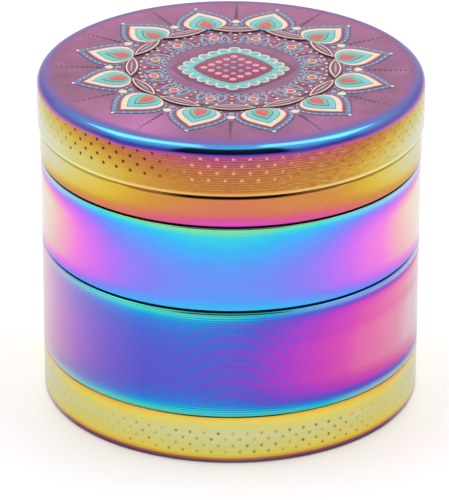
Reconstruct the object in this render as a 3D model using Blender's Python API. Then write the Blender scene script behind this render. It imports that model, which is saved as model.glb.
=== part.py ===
"""Four-part herb grinder: lid, grinding chamber, sieve chamber and dust tray.

Blender 4.5.  The object stands on the XY plane with its axis on +Z.  Outlines are (radius, height)
pairs in millimetres, and MM turns them into Blender's metres.
"""
import math

import bmesh
import bpy

MM = 0.001
SEGMENTS = 48                 # facets round every turned piece
MAGNET_SEGMENTS = 24
FILLET_STEPS = 2              # facets on each rounded edge
WELD_DISTANCE = 0.01          # joins the double points that a cut leaves, in millimetres

# Driving dimensions, in millimetres
BODY_RADIUS = 31.5            # tray and both chambers
LID_RADIUS = 31.95            # patterned band of the lid
LID_SKIRT_RADIUS = 31.6       # plain band of the lid
GAP = 0.3                     # between pieces that touch
TRAY_JOINT = 8.5              # heights of the joint lines
SIEVE_JOINT = 27.3
LID_JOINT = 42.25
LID_TOP = 56.5
EDGE = 0.45                   # rounding of the outer edges
LID_EDGE = 1.8                # rounding of the lid's polished rim

# Tray
TRAY_FLOOR = 1.7
TRAY_BOWL = 27.2
TRAY_STEP = 4.1

# Threads: a right-hand single start, so the piece above rises as it turns by +Z
LEAD = 2.0
BORE = 29.0                   # female root radius
SPIGOT = 27.9                 # male root radius
RIDGE_DEPTH = 0.8
RIDGE_SINK = 0.3              # how far a ridge's foot reaches into its wall
RIDGE_FOOT = 1.1
RIDGE_CREST = 0.4
RIDGE_FADE = 6                # facets over which a ridge runs out
LEAD_IN = 0.35

# Sieve chamber
SIEVE_SPIGOT_END = 4.6
SIEVE_SPIGOT_BORE = 25.0
SIEVE_STEP = 22.4
SIEVE_BOWL = 27.4
SIEVE_LIP = 22.6              # radius of the opening over the screen
SIEVE_LIP_TOP = 11.2
SIEVE_LIP_UNDER = 10.4

# Screen and its ring
SCREEN_RADIUS = 24.65
SCREEN_THICK = 0.25
RING_HEIGHT = 1.0

# Grinding chamber
CHAMBER_SPIGOT_END = 22.95
CHAMBER_SPIGOT_BORE = 25.2
CHAMBER_UNDER = 28.2
CHAMBER_FLOOR = 30.2
CHAMBER_BORE = 28.3
RING_SEAT = 38.3              # floor of the glide ring's seat
RING_SEAT_RADIUS = 29.9
POST_RADIUS = 6.5
POST_TOP = 37.4

# Lid
LID_UNDER = 53.3
LID_SPIGOT = 28.3
LID_BORE = 26.8
LID_SPIGOT_END = 38.7
GROOVE_TOP = 48.05
GROOVE_BOTTOM = 47.15
GROOVE_RADIUS = 31.2
BOSS_RADIUS = 7.0
BOSS_END = 38.0

# Magnets
MAGNET_RADIUS = 4.05
MAGNET_THICK = 2.2

# Teeth and drop holes
TOOTH_LENGTH = 4.6            # along the direction of turning
TOOTH_WIDTH = 3.1
TOOTH_TIP = 0.7               # height of the bevelled tip
TOOTH_TIP_SCALE = 0.62
TOOTH_FOOT = 0.6              # depth of a tooth's foot in its floor
CHAMBER_TEETH = ((24.6, 12, 15.0), (16.6, 8, 22.5))      # ring radius, count, first angle
CHAMBER_TEETH_TOP = 41.0
LID_TEETH = ((20.6, 10, 18.0), (12.6, 6, 30.0))
LID_TEETH_END = 35.8
HOLE_RADIUS = 2.4
HOLE_SIDES = 12
HOLES = ((20.6, 14, 0.0), (12.2, 8, 0.0))

# Colours of the iridescent plating and of the bare pieces: RGB, metallic, roughness
FINISHES = {
    "tray_gold": ((0.72, 0.66, 0.28), 1.0, 0.22),
    "sieve_indigo": ((0.14, 0.22, 0.72), 1.0, 0.18),
    "chamber_azure": ((0.20, 0.48, 0.90), 1.0, 0.18),
    "lid_mauve": ((0.52, 0.22, 0.42), 1.0, 0.24),
    "magnet_nickel": ((0.72, 0.71, 0.69), 1.0, 0.15),
    "ring_nylon": ((0.88, 0.88, 0.86), 0.0, 0.45),
    "screen_steel": ((0.55, 0.55, 0.55), 1.0, 0.35),
    "screen_ring_aluminium": ((0.66, 0.67, 0.69), 1.0, 0.30),
}


def clear_scene():
    for item in list(bpy.data.objects):
        bpy.data.objects.remove(item, do_unlink=True)


def finish(name):
    """The Principled material of one finish, made once."""
    if name in bpy.data.materials:
        return bpy.data.materials[name]
    colour, metallic, roughness = FINISHES[name]
    material = bpy.data.materials.new(name)
    material.use_nodes = True
    shader = material.node_tree.nodes["Principled BSDF"]
    shader.inputs["Base Color"].default_value = (*colour, 1.0)
    shader.inputs["Metallic"].default_value = metallic
    shader.inputs["Roughness"].default_value = roughness
    return material


def empty(name, height, parent=None):
    """An empty on the axis at a height, which the pieces of one moving body hang from."""
    axis = bpy.data.objects.new(name, None)
    axis.empty_display_type = "SINGLE_ARROW"
    bpy.context.collection.objects.link(axis)
    axis.parent = parent
    parent_height = parent["height"] if parent else 0.0
    axis.location.z = (height - parent_height) * MM
    axis["height"] = height
    return axis


def mesh_object(name, mesh, parent, material=None):
    """Link a mesh whose points are given from its parent's origin."""
    piece = bpy.data.objects.new(name, mesh)
    bpy.context.collection.objects.link(piece)
    piece.parent = parent
    if material:
        mesh.materials.append(finish(material))
        mesh.shade_smooth()
        mesh.set_sharp_from_angle(angle=math.radians(30))
    return piece


def corner_arc(before, corner, after, radius):
    """The points of one rounded corner of an outline."""
    ax, az = before[0] - corner[0], before[1] - corner[1]
    bx, bz = after[0] - corner[0], after[1] - corner[1]
    a_length = math.hypot(ax, az)
    b_length = math.hypot(bx, bz)
    ax, az, bx, bz = ax / a_length, az / a_length, bx / b_length, bz / b_length
    half = math.acos(max(-1.0, min(1.0, ax * bx + az * bz))) / 2.0
    reach = radius / math.tan(half)
    middle = math.hypot(ax + bx, az + bz)
    centre_distance = radius / math.sin(half)
    cx = corner[0] + (ax + bx) / middle * centre_distance
    cz = corner[1] + (az + bz) / middle * centre_distance
    first = math.atan2(corner[1] + az * reach - cz, corner[0] + ax * reach - cx)
    last = math.atan2(corner[1] + bz * reach - cz, corner[0] + bx * reach - cx)
    sweep = (last - first + math.pi) % (2.0 * math.pi) - math.pi
    angles = [first + sweep * step / FILLET_STEPS for step in range(FILLET_STEPS + 1)]
    return [(cx + radius * math.cos(angle), cz + radius * math.sin(angle)) for angle in angles]


def rounded(corners):
    """An outline from corners (radius, height) or (radius, height, rounding)."""
    outline = []
    for index, corner in enumerate(corners):
        if len(corner) == 2:
            outline.append(corner)
            continue
        before = corners[index - 1]
        after = corners[(index + 1) % len(corners)]
        outline += corner_arc(before, corner, after, corner[2])
    return outline


def turned(name, outline, parent, material, segments=SEGMENTS):
    """A solid of revolution about the axis, from its closed outline."""
    mesh = bpy.data.meshes.new(name)
    shape = bmesh.new()
    rings = []
    for radius, height in outline:
        z = (height - parent["height"]) * MM
        if radius == 0:
            rings.append([shape.verts.new((0.0, 0.0, z))] * segments)
            continue
        ring = []
        for step in range(segments):
            angle = 2.0 * math.pi * step / segments
            ring.append(shape.verts.new((radius * MM * math.cos(angle), radius * MM * math.sin(angle), z)))
        rings.append(ring)
    for index, ring in enumerate(rings):
        following = rings[(index + 1) % len(rings)]
        for step in range(segments):
            other = (step + 1) % segments
            around = [ring[step], ring[other], following[other], following[step]]
            corners = list(dict.fromkeys(around))
            if len(corners) > 2:
                shape.faces.new(corners)
    bmesh.ops.recalc_face_normals(shape, faces=shape.faces)
    shape.to_mesh(mesh)
    shape.free()
    return mesh_object(name, mesh, parent, material)


def ridge_section(shape, angle, height, root, outward, fade):
    """The four corners of a thread ridge at one angle."""
    foot = root - outward * RIDGE_SINK
    crest = foot + outward * (RIDGE_SINK + RIDGE_DEPTH) * fade
    section = []
    for radius, offset in ((foot, -RIDGE_FOOT), (crest, -RIDGE_CREST), (crest, RIDGE_CREST), (foot, RIDGE_FOOT)):
        z = height + offset / 2.0
        point = (radius * math.cos(angle) * MM, radius * math.sin(angle) * MM, z * MM)
        section.append(shape.verts.new(point))
    return section


def thread_ridge(name, parent, root, outward, origin, first, last):
    """A helical ridge between two facet counts; at facet zero its middle would be at origin."""
    mesh = bpy.data.meshes.new(name)
    shape = bmesh.new()
    sections = []
    for step in range(first, last + 1):
        run_out = min(step - first, last - step) / RIDGE_FADE
        fade = min(1.0, 0.15 + 0.85 * run_out)
        angle = 2.0 * math.pi * step / SEGMENTS
        height = origin + LEAD * step / SEGMENTS - parent["height"]
        sections.append(ridge_section(shape, angle, height, root, outward, fade))
    for here, there in zip(sections, sections[1:]):
        for corner in range(4):
            other = (corner + 1) % 4
            shape.faces.new((here[corner], here[other], there[other], there[corner]))
    shape.faces.new(sections[0])
    shape.faces.new(sections[-1])
    bmesh.ops.recalc_face_normals(shape, faces=shape.faces)
    shape.to_mesh(mesh)
    shape.free()
    return mesh_object(name, mesh, parent)


def add_tooth(shape, radius, angle, foot, end):
    """A diamond-section tooth, tapering to a bevelled tip."""
    direction = math.copysign(1.0, end - foot)
    levels = ((foot, 1.0), (end - direction * TOOTH_TIP, 0.92), (end, TOOTH_TIP_SCALE))
    sections = []
    for height, scale in levels:
        section = []
        for radial, along in ((TOOTH_WIDTH, 0.0), (0.0, TOOTH_LENGTH), (-TOOTH_WIDTH, 0.0), (0.0, -TOOTH_LENGTH)):
            reach = radius + radial * scale / 2.0
            side = along * scale / 2.0
            x = reach * math.cos(angle) - side * math.sin(angle)
            y = reach * math.sin(angle) + side * math.cos(angle)
            section.append(shape.verts.new((x * MM, y * MM, height * MM)))
        sections.append(section)
    for here, there in zip(sections, sections[1:]):
        for corner in range(4):
            other = (corner + 1) % 4
            shape.faces.new((here[corner], here[other], there[other], there[corner]))
    shape.faces.new(sections[0])
    shape.faces.new(sections[-1])


def teeth(name, parent, rings, floor, foot_side, end):
    """All the teeth of one piece; foot_side is +1 where their floor is above them."""
    mesh = bpy.data.meshes.new(name)
    shape = bmesh.new()
    foot = floor + foot_side * TOOTH_FOOT - parent["height"]
    for radius, count, first in rings:
        for index in range(count):
            angle = math.radians(first + 360.0 * index / count)
            add_tooth(shape, radius, angle, foot, end - parent["height"])
    bmesh.ops.recalc_face_normals(shape, faces=shape.faces)
    shape.to_mesh(mesh)
    shape.free()
    return mesh_object(name, mesh, parent)


def drop_holes(name, parent):
    """Upright cutters for the holes that the ground herb falls through."""
    mesh = bpy.data.meshes.new(name)
    shape = bmesh.new()
    middle = (CHAMBER_UNDER + CHAMBER_FLOOR) / 2.0 - parent["height"]
    depth = (CHAMBER_FLOOR - CHAMBER_UNDER) * 2.0
    for radius, count, first in HOLES:
        for index in range(count):
            angle = math.radians(first + 360.0 * index / count)
            made = bmesh.ops.create_cone(
                shape, cap_ends=True, segments=HOLE_SIDES, depth=depth * MM,
                radius1=HOLE_RADIUS * MM, radius2=HOLE_RADIUS * MM)
            place = (radius * math.cos(angle) * MM, radius * math.sin(angle) * MM, middle * MM)
            bmesh.ops.translate(shape, verts=made["verts"], vec=place)
    shape.to_mesh(mesh)
    shape.free()
    return mesh_object(name, mesh, parent)


def combine(piece, tool, operation):
    """Join a hidden tool to a piece, or cut the piece with it."""
    tool.hide_render = True
    tool.display_type = "WIRE"
    boolean = piece.modifiers.new(tool.name, "BOOLEAN")
    boolean.operation = operation
    boolean.solver = "EXACT"
    boolean.object = tool
    weld = piece.modifiers.new("weld " + tool.name, "WELD")
    weld.merge_threshold = WELD_DISTANCE * MM


def kief_tray(body):
    top = TRAY_JOINT - GAP / 2.0
    outline = rounded((
        (0.0, 0.0),
        (BODY_RADIUS, 0.0, EDGE),
        (BODY_RADIUS, top, EDGE),
        (BORE + LEAD_IN, top),
        (BORE, top - LEAD_IN),
        (BORE, TRAY_STEP),
        (TRAY_BOWL, TRAY_STEP),
        (TRAY_BOWL, TRAY_FLOOR, 2.0),
        (0.0, TRAY_FLOOR),
    ))
    tray = turned("kief_tray", outline, body, "tray_gold")
    combine(tray, thread_ridge("tray_thread", body, BORE, -1.0, 4.3, 14, 77), "UNION")


def sieve_chamber(body):
    bottom = TRAY_JOINT + GAP / 2.0
    top = SIEVE_JOINT - GAP / 2.0
    outline = rounded((
        (SIEVE_SPIGOT_BORE, SIEVE_SPIGOT_END),
        (SPIGOT, SIEVE_SPIGOT_END, 0.3),
        (SPIGOT, bottom),
        (BODY_RADIUS, bottom, EDGE),
        (BODY_RADIUS, top, EDGE),
        (BORE + LEAD_IN, top),
        (BORE, top - LEAD_IN),
        (BORE, SIEVE_STEP),
        (SIEVE_BOWL, SIEVE_STEP),
        (SIEVE_BOWL, SIEVE_LIP_TOP, 4.4),
        (SIEVE_LIP, SIEVE_LIP_TOP),
        (SIEVE_LIP, SIEVE_LIP_UNDER),
        (SIEVE_SPIGOT_BORE, SIEVE_LIP_UNDER),
    ))
    chamber = turned("sieve_chamber", outline, body, "sieve_indigo")
    combine(chamber, thread_ridge("sieve_male_thread", body, SPIGOT, 1.0, 5.3, 0, 62), "UNION")
    combine(chamber, thread_ridge("sieve_female_thread", body, BORE, -1.0, 22.65, 12, 91), "UNION")


def screen(body):
    """The wire cloth, as a plain disc, and the ring that holds it against the lip."""
    top = SIEVE_LIP_UNDER - GAP
    bottom = top - SCREEN_THICK
    cloth = ((0.0, bottom), (SCREEN_RADIUS, bottom), (SCREEN_RADIUS, top), (0.0, top))
    turned("screen_mesh", cloth, body, "screen_steel")
    ring_top = bottom - GAP
    ring_bottom = ring_top - RING_HEIGHT
    ring = ((SIEVE_LIP, ring_bottom), (SCREEN_RADIUS, ring_bottom), (SCREEN_RADIUS, ring_top), (SIEVE_LIP, ring_top))
    turned("screen_retaining_ring", ring, body, "screen_ring_aluminium")


def grinding_chamber(body):
    bottom = SIEVE_JOINT + GAP / 2.0
    top = LID_JOINT - GAP / 2.0
    pocket = MAGNET_RADIUS + GAP
    outline = rounded((
        (CHAMBER_SPIGOT_BORE, CHAMBER_SPIGOT_END),
        (SPIGOT, CHAMBER_SPIGOT_END, 0.3),
        (SPIGOT, bottom),
        (BODY_RADIUS, bottom, EDGE),
        (BODY_RADIUS, top, EDGE),
        (RING_SEAT_RADIUS, top),
        (RING_SEAT_RADIUS, RING_SEAT),
        (CHAMBER_BORE, RING_SEAT),
        (CHAMBER_BORE, CHAMBER_FLOOR, 1.2),
        (POST_RADIUS, CHAMBER_FLOOR, 0.8),
        (POST_RADIUS, POST_TOP, 0.4),
        (pocket, POST_TOP),
        (pocket, POST_TOP - MAGNET_THICK - GAP),
        (0.0, POST_TOP - MAGNET_THICK - GAP),
        (0.0, CHAMBER_UNDER),
        (CHAMBER_SPIGOT_BORE, CHAMBER_UNDER),
    ))
    chamber = turned("grinding_chamber", outline, body, "chamber_azure")
    combine(chamber, thread_ridge("chamber_thread", body, SPIGOT, 1.0, 23.65, 0, 74), "UNION")
    combine(chamber, drop_holes("drop_holes", body), "DIFFERENCE")
    tool = teeth("chamber_teeth", body, CHAMBER_TEETH, CHAMBER_FLOOR, -1.0, CHAMBER_TEETH_TOP)
    combine(chamber, tool, "UNION")


def magnet(name, body, bottom):
    top = bottom + MAGNET_THICK
    outline = ((0.0, bottom), (MAGNET_RADIUS, bottom), (MAGNET_RADIUS, top), (0.0, top))
    turned(name, outline, body, "magnet_nickel", MAGNET_SEGMENTS)


def glide_ring(body):
    bottom = RING_SEAT + GAP
    top = LID_JOINT - GAP / 2.0
    inner = LID_SPIGOT + GAP
    outer = RING_SEAT_RADIUS - GAP
    turned("glide_ring", ((inner, bottom), (outer, bottom), (outer, top), (inner, top)), body, "ring_nylon")


def lid_shell(body):
    bottom = LID_JOINT + GAP / 2.0
    pocket = MAGNET_RADIUS + GAP
    outline = rounded((
        (0.0, LID_TOP),
        (LID_RADIUS, LID_TOP, LID_EDGE),
        (LID_RADIUS, GROOVE_TOP, 0.3),
        (GROOVE_RADIUS, (GROOVE_TOP + GROOVE_BOTTOM) / 2.0),
        (LID_SKIRT_RADIUS, GROOVE_BOTTOM),
        (LID_SKIRT_RADIUS, bottom, EDGE),
        (LID_SPIGOT, bottom),
        (LID_SPIGOT, LID_SPIGOT_END, 0.3),
        (LID_BORE, LID_SPIGOT_END),
        (LID_BORE, LID_UNDER, 1.2),
        (BOSS_RADIUS, LID_UNDER, 0.8),
        (BOSS_RADIUS, BOSS_END, 0.4),
        (pocket, BOSS_END),
        (pocket, BOSS_END + MAGNET_THICK + GAP),
        (0.0, BOSS_END + MAGNET_THICK + GAP),
    ))
    lid = turned("lid_shell", outline, body, "lid_mauve")
    combine(lid, teeth("lid_teeth", body, LID_TEETH, LID_UNDER, 1.0, LID_TEETH_END), "UNION")


def build():
    """Stack the bodies; each empty is on the axis, at the joint that its body moves on."""
    clear_scene()
    tray_body = empty("tray_body", 0.0)
    screen_body = empty("screen_body", TRAY_JOINT, tray_body)
    sieve_body = empty("sieve_body", TRAY_JOINT, screen_body)
    chamber_magnet_body = empty("chamber_magnet_body", SIEVE_JOINT, sieve_body)
    chamber_body = empty("chamber_body", SIEVE_JOINT, chamber_magnet_body)
    glide_body = empty("glide_body", LID_JOINT, chamber_body)
    lid_body = empty("lid_body", LID_JOINT, glide_body)
    kief_tray(tray_body)
    screen(screen_body)
    sieve_chamber(sieve_body)
    magnet("chamber_magnet", chamber_magnet_body, POST_TOP - MAGNET_THICK)
    grinding_chamber(chamber_body)
    glide_ring(glide_body)
    lid_shell(lid_body)
    magnet("lid_magnet", lid_body, BOSS_END)


build()
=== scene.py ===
"""Looks of the four-part herb grinder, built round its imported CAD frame.

Dimensions are in millimetres and MM turns them into metres.  The axis of every turned piece is +Z.
"""

import math

import bmesh
import bpy
from mathutils import Matrix, Vector

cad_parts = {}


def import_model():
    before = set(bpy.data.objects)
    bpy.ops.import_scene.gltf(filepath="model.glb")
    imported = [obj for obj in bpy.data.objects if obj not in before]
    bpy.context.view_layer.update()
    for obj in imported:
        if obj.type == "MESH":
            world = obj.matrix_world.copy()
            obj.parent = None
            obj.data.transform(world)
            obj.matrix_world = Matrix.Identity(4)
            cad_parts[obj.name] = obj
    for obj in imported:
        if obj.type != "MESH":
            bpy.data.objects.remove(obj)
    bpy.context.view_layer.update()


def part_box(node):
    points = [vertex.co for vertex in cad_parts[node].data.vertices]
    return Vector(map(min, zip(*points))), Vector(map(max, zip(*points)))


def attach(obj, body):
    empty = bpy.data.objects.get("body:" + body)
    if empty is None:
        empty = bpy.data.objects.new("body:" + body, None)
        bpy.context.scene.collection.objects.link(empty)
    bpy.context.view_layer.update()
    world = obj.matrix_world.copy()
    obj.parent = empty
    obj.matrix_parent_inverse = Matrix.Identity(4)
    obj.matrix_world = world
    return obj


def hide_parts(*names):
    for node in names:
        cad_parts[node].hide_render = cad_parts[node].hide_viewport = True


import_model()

MM = 0.001
TAU = 2.0 * math.pi


# ---------------------------------------------------------------- dimensions

def height_of(node, end):
    """Lowest (0) or highest (1) height of a CAD node, in millimetres."""
    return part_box(node)[end].z / MM


def radius_of(node):
    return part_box(node)[1].x / MM


# Outside.
BODY_RADIUS = radius_of("kief_tray")
LID_RADIUS = radius_of("lid_shell")
LID_SKIRT_RADIUS = 31.6
TRAY_TOP = height_of("kief_tray", 1)
SIEVE_SPIGOT_END = height_of("sieve_chamber", 0)
SIEVE_TOP = height_of("sieve_chamber", 1)
CHAMBER_SPIGOT_END = height_of("grinding_chamber", 0)
CHAMBER_TOP = height_of("grinding_chamber", 1)
LID_TOP = height_of("lid_shell", 1)
LID_TEETH_END = height_of("lid_shell", 0)
GAP = 0.3
SIEVE_BOTTOM = TRAY_TOP + GAP
TRAY_LINE = 0.24              # how far the two edges of the tray's tight joint close up
TRAY_LINE_EDGE = 0.16         # rounding of those two edges
CHAMBER_BOTTOM = SIEVE_TOP + GAP
LID_BOTTOM = CHAMBER_TOP + GAP
EDGE = 0.45
LID_EDGE = 1.8
GROOVE_TOP = 47.95
GROOVE_BOTTOM = 47.25
GROOVE_RADIUS = 31.25

# Threads.
LEAD = 2.0
BORE = 29.0
SPIGOT = 27.9
RIDGE_DEPTH = 0.8
RIDGE_SINK = 0.3
RIDGE_FOOT = 1.1
RIDGE_CREST = 0.4
RIDGE_FADE = 0.12             # share of a turn over which a ridge runs out
RIDGE_END = 0.15              # share of its depth that a ridge keeps at its very end
LEAD_IN = 0.35
TRAY_THREAD = (4.3, 14 / 48, 77 / 48)            # height at turn zero, first turn, last turn
SIEVE_MALE_THREAD = (5.3, 0.0, 62 / 48)
SIEVE_FEMALE_THREAD = (22.65, 12 / 48, 91 / 48)
CHAMBER_THREAD = (23.65, 0.0, 74 / 48)

# Insides.
TRAY_FLOOR = 1.7
TRAY_BOWL = 27.2
TRAY_STEP = 4.1
SIEVE_STEP = 22.4
SIEVE_BOWL = 27.4
SIEVE_LIP = 22.6
SIEVE_LIP_TOP = 11.2
SIEVE_LIP_UNDER = 10.4
SIEVE_SPIGOT_BORE = 25.0
CHAMBER_SPIGOT_BORE = 25.2
CHAMBER_UNDER = 28.2
CHAMBER_FLOOR = 30.2
CHAMBER_BORE = 28.3
RING_SEAT = 38.3
RING_SEAT_RADIUS = 29.9
POST_RADIUS = 6.5
POST_TOP = height_of("chamber_magnet", 1)
LID_UNDER = 53.3
LID_SPIGOT = 28.3
LID_SPIGOT_END = 38.7
LID_BORE = 26.8
BOSS_RADIUS = 7.0
BOSS_END = height_of("lid_magnet", 0)
MAGNET_RADIUS = radius_of("lid_magnet")
MAGNET_THICK = height_of("lid_magnet", 1) - BOSS_END

# Teeth and drop holes.
TOOTH_LENGTH = 4.6
TOOTH_WIDTH = 3.1
TOOTH_TIP = 0.7
TOOTH_TIP_SCALE = 0.62
TOOTH_SHOULDER_SCALE = 0.92
TOOTH_FOOT = 0.6
TOOTH_EDGE = 0.22
CHAMBER_TEETH = ((24.6, 12, 15.0), (16.6, 8, 22.5))      # ring radius, count, first bearing
CHAMBER_TEETH_TOP = 41.0
LID_TEETH = ((20.6, 10, 18.0), (12.6, 6, 30.0))
HOLE_RADIUS = 2.4
HOLE_SIDES = 28
HOLES = ((20.6, 14, 0.0), (12.2, 8, 0.0))

# Facets and dimples.
SEGMENTS = 192                # facets round a plain turned piece
MAGNET_SEGMENTS = 96
SHARP_ANGLE = 32              # degrees; steeper edges are not smoothed
WELD_DISTANCE = 0.005         # joins the double points that a Boolean leaves
FILLET_STEPS = 5              # least number of facets on a rounded edge
FILLET_STEPS_PER_MM = 6
DIMPLE_RADIUS = 0.34
DIMPLE_DEPTH = 0.09
DIMPLE_STEP = 0.125           # spacing of the points across a dimple
DIMPLE_SKIRT = 0.5            # how far above and below a row the surface is plain again
LID_DIMPLES = (76, (54.32, 53.12, 51.9, 50.65))         # count round, heights of the rows
TRAY_DIMPLES = (84, (5.47, 4.35, 3.22, 2.1))

# Woven screen.
MESH_PITCH = 1.0
WIRE_RADIUS = 0.07
WIRE_WAVE = 0.05
WIRE_SIDES = 4
WIRE_STEPS = 3                # sections of a wire for each one it crosses
SCREEN_REACH = radius_of("screen_mesh") - 0.05


# ---------------------------------------------------------------- mesh tools

def corner_arc(before, corner, after, radius):
    """The points of one rounded corner of an outline."""
    ax, az = before[0] - corner[0], before[1] - corner[1]
    bx, bz = after[0] - corner[0], after[1] - corner[1]
    a_length = math.hypot(ax, az)
    b_length = math.hypot(bx, bz)
    ax, az, bx, bz = ax / a_length, az / a_length, bx / b_length, bz / b_length
    half = math.acos(max(-1.0, min(1.0, ax * bx + az * bz))) / 2.0
    reach = radius / math.tan(half)
    middle = math.hypot(ax + bx, az + bz)
    centre_distance = radius / math.sin(half)
    cx = corner[0] + (ax + bx) / middle * centre_distance
    cz = corner[1] + (az + bz) / middle * centre_distance
    first = math.atan2(corner[1] + az * reach - cz, corner[0] + ax * reach - cx)
    last = math.atan2(corner[1] + bz * reach - cz, corner[0] + bx * reach - cx)
    sweep = (last - first + math.pi) % TAU - math.pi
    steps = max(FILLET_STEPS, round(radius * FILLET_STEPS_PER_MM))
    angles = [first + sweep * step / steps for step in range(steps + 1)]
    return [(cx + radius * math.cos(angle), cz + radius * math.sin(angle)) for angle in angles]


def rounded(corners):
    """An outline from corners (radius, height) or (radius, height, rounding)."""
    outline = []
    for index, corner in enumerate(corners):
        if len(corner) == 2:
            outline.append(corner)
            continue
        before = corners[index - 1]
        after = corners[(index + 1) % len(corners)]
        outline += corner_arc(before, corner, after, corner[2])
    return outline


def even(count):
    """Evenly spaced angles, in radians."""
    return [TAU * step / count for step in range(count)]


def on_circle(radius, angle):
    """x and y at a radius and an angle."""
    return radius * math.cos(angle), radius * math.sin(angle)


def plain_row(radius, height, angles):
    """One ring of a turned piece: its height and its (angle, radius) points."""
    if radius == 0:
        return height, [(0.0, 0.0)]
    return height, [(angle, radius) for angle in angles]


def plain_rows(outline, segments=SEGMENTS):
    angles = even(segments)
    return [plain_row(radius, height, angles) for radius, height in outline]


def dimple_offsets():
    return [step * DIMPLE_STEP for step in range(-3, 4)]


def dimple_rows(radius, pattern, plain_above=False):
    """Rings of points from the top down, close together round each dimple of a staggered pattern.

    plain_above puts a smooth ring over the highest row.
    """
    count, heights = pattern
    pitch = TAU / count
    angles = []
    for half in range(2 * count):
        angles += [(half * pitch / 2.0 + offset / radius) for offset in dimple_offsets()]
    angles = [angle - angles[0] for angle in angles]
    first = dimple_offsets()[-1] / radius
    rows = [plain_row(radius, heights[0] + DIMPLE_SKIRT, angles)] if plain_above else []
    for index, middle in enumerate(heights):
        shift = first + (index % 2) * pitch / 2.0
        for rise in dimple_offsets()[::-1] + [-DIMPLE_SKIRT]:
            points = []
            for angle in angles:
                side = ((angle - shift + pitch / 2.0) % pitch - pitch / 2.0) * radius
                share = (side * side + rise * rise) / DIMPLE_RADIUS ** 2
                points.append((angle, radius - DIMPLE_DEPTH * max(0.0, 1.0 - share)))
            rows.append((middle + rise, points))
    return rows


def bridge(shape, lower, upper):
    """Faces between two rings of points, which may have different counts."""
    lower_points, lower_angles = lower
    upper_points, upper_angles = upper
    if len(lower_points) == len(upper_points):
        for step in range(len(lower_points)):
            other = (step + 1) % len(lower_points)
            shape.faces.new(
                (lower_points[step], lower_points[other], upper_points[other], upper_points[step]))
        return
    a_points = lower_points + lower_points[:1]
    b_points = upper_points + upper_points[:1]
    a_angles = lower_angles + [TAU]
    b_angles = upper_angles + [TAU]
    a = b = 0
    while a < len(lower_points) or b < len(upper_points):
        along_a = b == len(upper_points) or (
            a < len(lower_points) and a_angles[a + 1] <= b_angles[b + 1])
        if along_a:
            corners = (a_points[a], a_points[a + 1], b_points[b])
            a += 1
        else:
            corners = (a_points[a], b_points[b + 1], b_points[b])
            b += 1
        if len(set(corners)) == 3:
            shape.faces.new(corners)


def add_point(shape, x, y, z):
    """A new vertex at a place in millimetres."""
    return shape.verts.new((x * MM, y * MM, z * MM))


def link_mesh(name, shape):
    """A new object from a bmesh, with its faces pointing out."""
    bmesh.ops.recalc_face_normals(shape, faces=shape.faces)
    mesh = bpy.data.meshes.new(name)
    shape.to_mesh(mesh)
    shape.free()
    piece = bpy.data.objects.new(name, mesh)
    bpy.context.collection.objects.link(piece)
    return piece


def turned(name, rows):
    """A closed solid of revolution, or nearly so, from its rings of points."""
    shape = bmesh.new()
    rings = []
    for height, points in rows:
        ring = [add_point(shape, *on_circle(radius, angle), height) for angle, radius in points]
        rings.append((ring, [angle for angle, radius in points]))
    for index, ring in enumerate(rings):
        following = rings[(index + 1) % len(rings)]
        if len(ring[0]) > 1 or len(following[0]) > 1:
            bridge(shape, ring, following)
    return link_mesh(name, shape)


def thread_ridge(name, root, outward, thread):
    """A helical ridge; a thread is (height at turn zero, first turn, last turn)."""
    origin, first, last = thread
    shape = bmesh.new()
    steps = round((last - first) * SEGMENTS)
    sections = []
    for step in range(steps + 1):
        turn = first + (last - first) * step / steps
        fade = min(1.0, RIDGE_END + (1.0 - RIDGE_END) * min(turn - first, last - turn) / RIDGE_FADE)
        angle = TAU * (turn + 0.5 / SEGMENTS)
        foot = root - outward * RIDGE_SINK
        crest = foot + outward * (RIDGE_SINK + RIDGE_DEPTH) * fade
        height = origin + LEAD * turn
        profile = ((foot, -RIDGE_FOOT), (crest, -RIDGE_CREST), (crest, RIDGE_CREST), (foot, RIDGE_FOOT))
        sections.append([
            add_point(shape, *on_circle(radius, angle), height + offset / 2.0)
            for radius, offset in profile])
    close_sections(shape, sections)
    return link_mesh(name, shape)


def close_sections(shape, sections):
    """Side faces between sections of the same count, and the two ends."""
    for here, there in zip(sections, sections[1:]):
        for corner in range(len(here)):
            other = (corner + 1) % len(here)
            shape.faces.new((here[corner], here[other], there[other], there[corner]))
    shape.faces.new(sections[0])
    shape.faces.new(sections[-1])


def around(count, first=0.0):
    """Evenly spaced bearings, in degrees."""
    return [first + 360.0 * index / count for index in range(count)]


def ring_places(rings):
    """The (radius, angle) of everything in rings of (radius, count, first bearing)."""
    places = []
    for radius, count, first in rings:
        places += [(radius, math.radians(degrees)) for degrees in around(count, first)]
    return places


def tooth_section(shape, radius, angle, height, scale):
    """One level of a diamond tooth."""
    section = []
    corners = ((TOOTH_WIDTH, 0.0), (0.0, TOOTH_LENGTH), (-TOOTH_WIDTH, 0.0), (0.0, -TOOTH_LENGTH))
    for radial, along in corners:
        reach = radius + radial * scale / 2.0
        side = along * scale / 2.0
        x = reach * math.cos(angle) - side * math.sin(angle)
        y = reach * math.sin(angle) + side * math.cos(angle)
        section.append(add_point(shape, x, y, height))
    return section


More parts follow.
